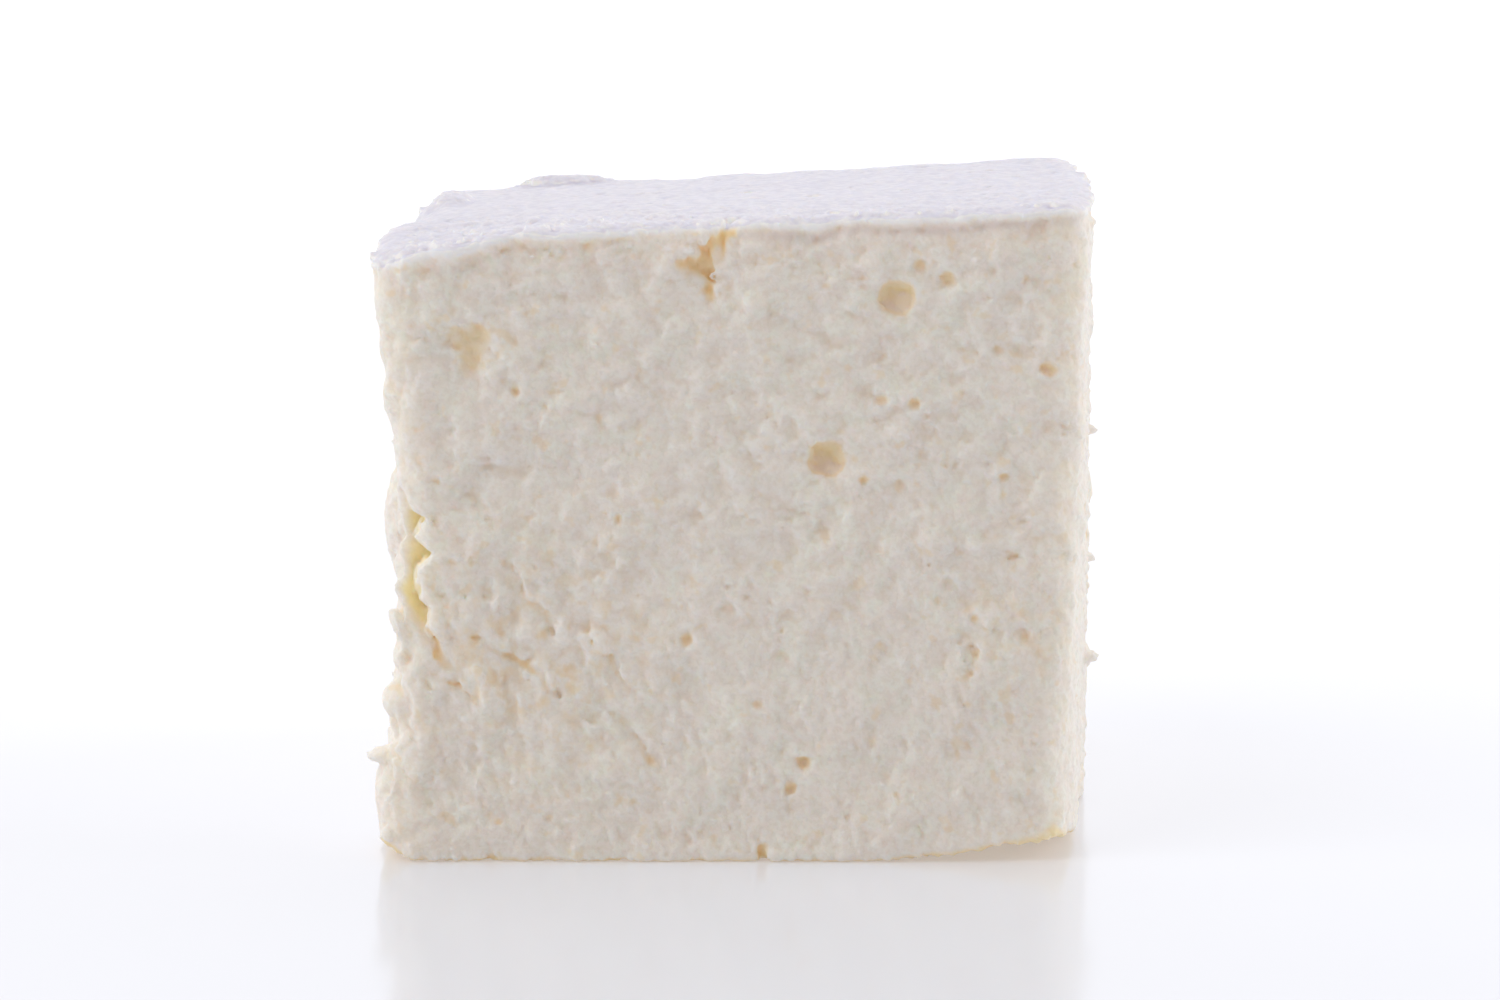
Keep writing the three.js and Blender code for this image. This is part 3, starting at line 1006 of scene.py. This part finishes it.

# %% [markdown]
# ## The colour of foam
#
# Foam is white because its bubbles scatter light, and a little warm because sugar and gelatine are.
# Painted in one colour it would look like plaster. So the colour drifts softly between near whites,
# at two sizes, and has warm spots at random, more of them in the torn patches. Painted shade makes
# it a little darker in the finest dips, in the dales of the texture and under the rim, and painted
# warm glow lies in spots near the upright edges, where the foam is thin. The hollows take the warm
# tints that the masks stand for, which are painted glow of light that comes through the foam.
#
# Each step lays one colour over the last, by a share from 0 to 1. The spots come from noise that is
# fixed to the object, so they stay in place from wherever it is seen.

# %% Helpers for the foam's colour
foam_finish = new_material("marshmallow_foam")
tree = foam_finish.node_tree
place = add(tree, "ShaderNodeTexCoord").outputs["Object"]


def mask(name):
    """One of the numbers that are stored on the mesh."""
    return add(tree, "ShaderNodeAttribute", {"attribute_name": name}).outputs["Fac"]


def speckle(size_mm, low, high):
    """Soft spots of one size, as a share."""
    node = add(tree, "ShaderNodeTexNoise", Vector=place, Scale=1 / (size_mm * mm), Detail=2.0)
    return ramp(tree, node.outputs["Fac"], low, high)


def times(first, second):
    node = add(tree, "ShaderNodeMath", {"operation": "MULTIPLY"}, _0=first, _1=second)
    return node.outputs[0]


# %% Cut foam
fine = add(tree, "ShaderNodeTexNoise", Vector=place, Scale=1 / (0.32 * mm), Detail=2.0,
           Roughness=0.6).outputs["Fac"]
# The dales of the finest grain are darkened with painted shade
painted_dip_shade = ramp(tree, fine, 0.60, 0.35)
torn_spots = times(speckle(0.9, 0.44, 0.72), times(mask("torn"), 0.7))
# Spots of painted warm glow near the upright edges, where light comes through the thin foam
painted_edge_glow_spots = times(speckle(1.6, 0.48, 0.64), times(mask("edge"), 0.25))
tints = [
    (speckle(2.6, 0.35, 0.65), srgb(245, 242, 232)),
    (speckle(0.8, 0.35, 0.65), srgb(247, 238, 230)),
    # painted shade in the finest dips
    (times(painted_dip_shade, 0.30), srgb(226, 216, 204)),
    (times(speckle(1.0, 0.60, 0.74), 0.55), srgb(243, 224, 196)),
    (torn_spots, srgb(246, 222, 186)),
    # painted shade under the rim
    (times(mask("lip"), 0.6), srgb(224, 216, 214)),
    # painted glow in spots near the upright edges
    (painted_edge_glow_spots, srgb(249, 240, 216)),
    # painted shade in the dales of the texture
    (times(mask("crease"), 0.35), srgb(240, 226, 206)),
    # painted warm glow in the creases and in the gap under the base
    (mask("painted_crack_glow"), srgb(252, 222, 178)),
    # painted yellow glow in the bites
    (mask("bite"), srgb(255, 237, 196)),
]
colour = srgb(248, 241, 234)
for share, tint in tints:
    colour = blend(tree, share, colour, tint)
print("cut foam:", len(tints), "tints over near white")

# %% [markdown]
# ## Bubbles and powder
#
# The finish paints light into the bubbles. The wall of a bubble that faces down gets a painted warm
# glow, as if lit through the foam, and the one that faces up a pinker painted light, as if lit from
# outside. The powder is the opposite of the foam: it lies on the surface and is whiter, and its
# cool lilac tint is a painted reflection of the window. Where the skin rolls over at its rim and
# turns away from the window, that painted tint gives way to plain white.

# %% Bubbles and powder
shape_normal = add(tree, "ShaderNodeNewGeometry").outputs["Normal"]
facing_up = add(tree, "ShaderNodeSeparateXYZ", Vector=shape_normal).outputs["Z"]
# Lit and shaded copies of one tint: painted warm glow on walls facing down, pinker painted light on
# walls facing up
painted_bubble_light = blend(tree, ramp(tree, facing_up, -0.4, 0.5),
                      srgb(255, 229, 186), srgb(254, 230, 214))
colour = blend(tree, mask("bubble"), colour, painted_bubble_light)
# Powder, whose cool lilac tint is a painted reflection of the window
powder_and_painted_reflection = blend(tree, speckle(0.6, 0.3, 0.7), srgb(229, 228, 240), srgb(218, 217, 232))
# Where the skin faces less up, at its rolled rim, the painted cool reflection gives way to white
powder_and_painted_reflection = blend(tree, ramp(tree, facing_up, 0.9, 0.4), powder_and_painted_reflection, srgb(248, 247, 249))
colour = blend(tree, mask("skin"), colour, powder_and_painted_reflection)
print("foam finish has", len(tree.nodes), "nodes so far")

# %% [markdown]
# ## Light in the foam
#
# Light goes a millimetre or so into the foam before it comes out again, red a little farther than
# blue. Without that, the thin rims and burrs would look hard. The surface is dull, and the grain
# that is finer than the mesh is a bump: too small for geometry, and only just seen.

# %% Foam surface
foam_roughness, foam_specular = 0.85, 0.3
scattered, scatter_scale, scatter_radius = 0.8, 1.4 * mm, (1.0, 0.84, 0.68)
grain_bump, grain_height = 0.7, 0.10 * mm

bump = add(tree, "ShaderNodeBump", Strength=grain_bump, Distance=grain_height, Height=fine)
surface = add(tree, "ShaderNodeBsdfPrincipled", Base_Color=colour, Roughness=foam_roughness,
              Normal=bump.outputs["Normal"], Subsurface_Weight=scattered,
              Subsurface_Radius=scatter_radius, Subsurface_Scale=scatter_scale,
              Specular_IOR_Level=foam_specular)
output = add(tree, "ShaderNodeOutputMaterial", Surface=surface.outputs[0])
mesh.materials.append(foam_finish)
print("foam finish has", len(tree.nodes), "nodes")

# %% [markdown]
# ## Handing it to the frame
#
# The mesh takes the place of the CAD solid, rides on the same body, and wears its material in the
# slot that the CAD model named.

# %% Body, node and slot
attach(foam, "root")
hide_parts("marshmallow")
print("marshmallow_foam stands for marshmallow")
